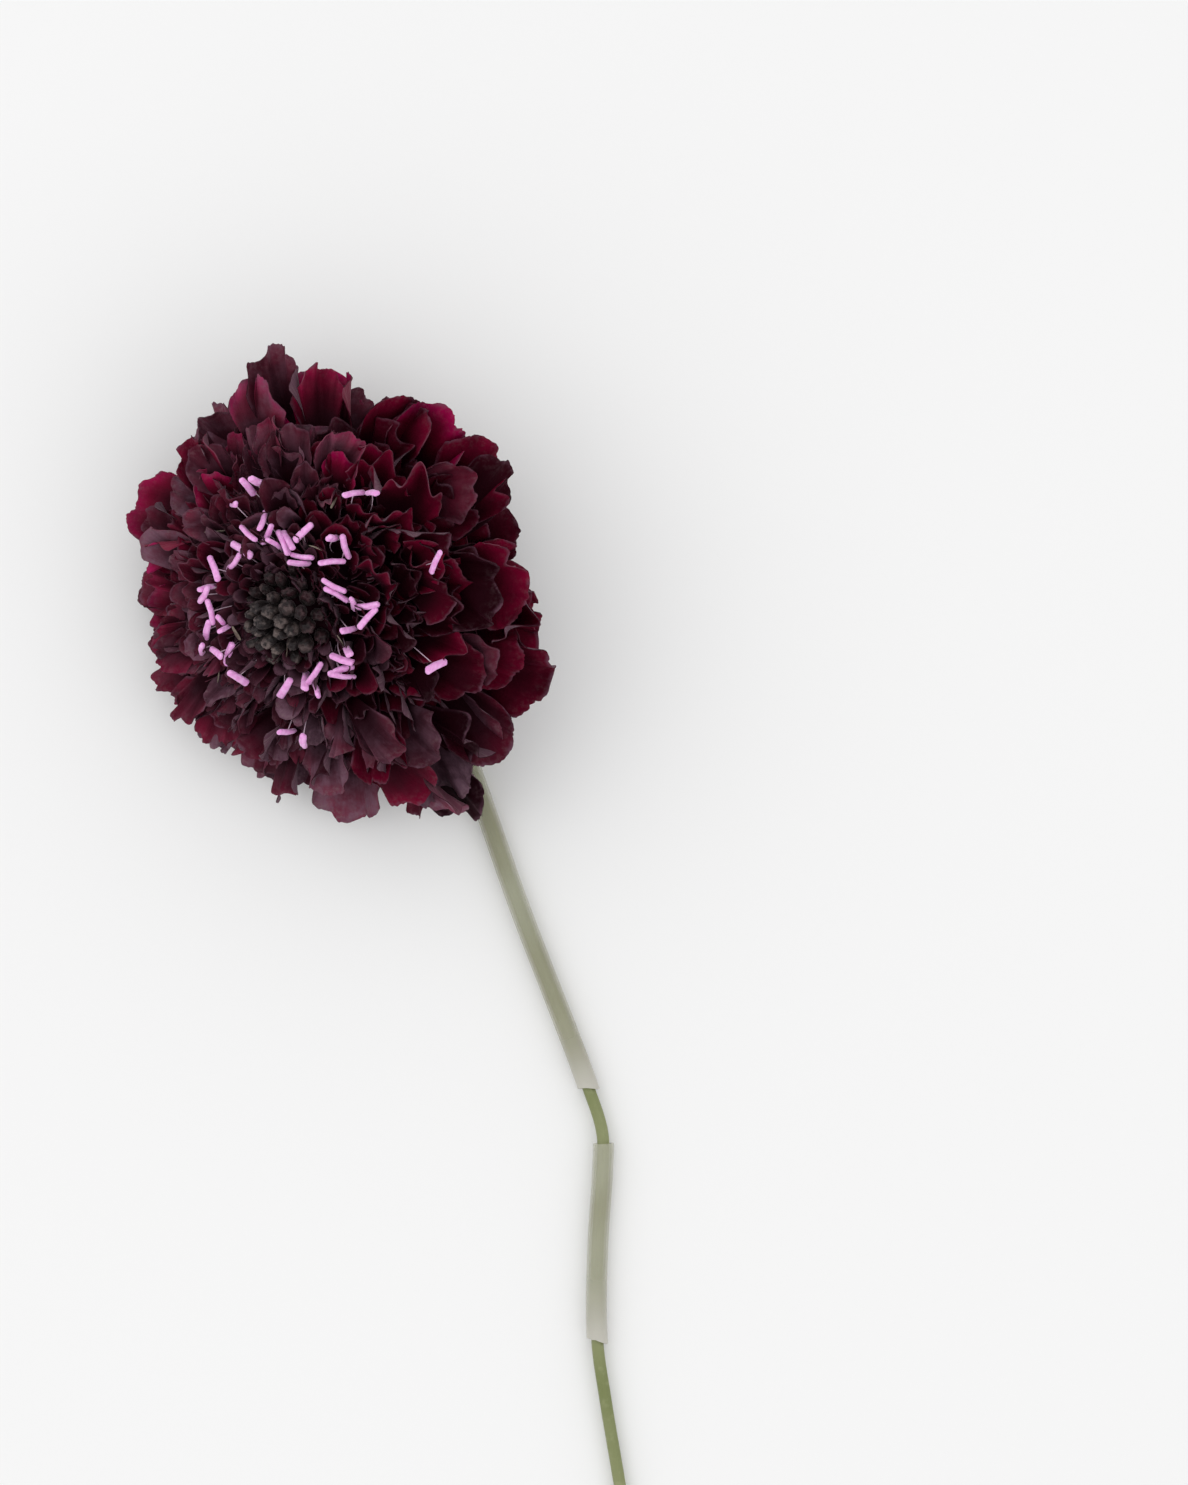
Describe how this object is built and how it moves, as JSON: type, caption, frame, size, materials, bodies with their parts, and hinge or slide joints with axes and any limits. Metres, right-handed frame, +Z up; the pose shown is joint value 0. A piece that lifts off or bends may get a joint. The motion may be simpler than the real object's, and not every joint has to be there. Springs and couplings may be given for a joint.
{
  "type": "scabiosa flower",
  "caption": "Dark burgundy double scabiosa, cut and laid down: ruffled florets round a cushion of buds, a bent neck and a stem in two clear straws.",
  "frame": {"origin": "on the surface the flower lies on, under the middle of its bounding box", "axes": "+Z up from the surface, +Y along the laid stem from its cut end towards the head, +X to the right of the stem"},
  "size_m": [0.081, 0.238, 0.0382],
  "materials": {
    "floret": "velvety petals, near-black burgundy with crimson where they are thin, a little sheen",
    "bud": "matte, downy, grey-black",
    "leaflet": "matte, downy green",
    "stem": "satin grey-green with fine ribs along it",
    "straw": "milky translucent plastic, soft gloss"
  },
  "bodies": {
    "root": {"florets": "floret", "buds": "bud", "involucre": "leaflet", "stem": "stem", "upper_straw": "straw", "lower_straw": "straw"}
  },
  "joints": []
}
